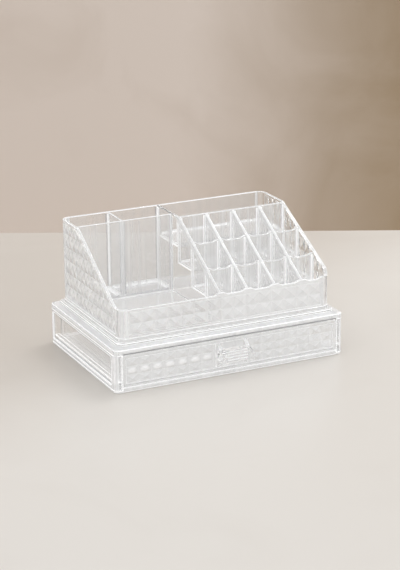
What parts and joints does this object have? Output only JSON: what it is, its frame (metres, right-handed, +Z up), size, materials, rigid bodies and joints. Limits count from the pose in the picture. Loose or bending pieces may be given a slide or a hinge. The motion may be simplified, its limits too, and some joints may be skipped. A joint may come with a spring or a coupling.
{
  "type": "makeup organizer",
  "caption": "Clear plastic makeup organizer: a lift-off tray with lipstick slots and tall boxes on a low cabinet with a faceted drawer.",
  "frame": {"origin": "on the table, under the middle of the cabinet's base plate", "axes": "+X to the right seen from the drawer's side, +Y to the back, +Z up; the drawer opens along -Y"},
  "size_m": [0.222, 0.1627, 0.1195],
  "materials": {
    "clear_plastic": "clear moulded plastic, polished, with faceted outer walls"
  },
  "bodies": {
    "cabinet": {"cabinet_base": "clear_plastic", "cabinet_left_side": "clear_plastic", "cabinet_right_side": "clear_plastic", "cabinet_back": "clear_plastic", "cabinet_top": "clear_plastic"},
    "drawer": {"drawer_front": "clear_plastic", "drawer_pull": "clear_plastic", "drawer_left_side": "clear_plastic", "drawer_right_side": "clear_plastic", "drawer_back": "clear_plastic", "drawer_bottom": "clear_plastic"},
    "tray": {"tray_floor": "clear_plastic", "tray_front_wall": "clear_plastic", "tray_left_wall": "clear_plastic", "tray_right_wall": "clear_plastic", "tray_back_wall": "clear_plastic", "tall_box_front_wall": "clear_plastic", "tall_box_divider": "clear_plastic", "rack_side_wall": "clear_plastic", "rack_rear_wall": "clear_plastic", "rear_slot_floor": "clear_plastic", "rack_row_wall_1": "clear_plastic", "rack_floor_2": "clear_plastic", "rack_row_wall_2": "clear_plastic", "rack_floor_3": "clear_plastic", "rack_divider_1": "clear_plastic", "rack_divider_2": "clear_plastic", "rack_divider_3": "clear_plastic"}
  },
  "joints": [
    {"name": "drawer_slide", "type": "slide", "parent": "cabinet", "child": "drawer", "axis": [0, -1, 0], "range_m": [0, 0.11]},
    {"name": "tray_lift", "type": "slide", "parent": "cabinet", "child": "tray", "axis": [0, 0, 1], "range_m": [0, 0.06]}
  ]
}
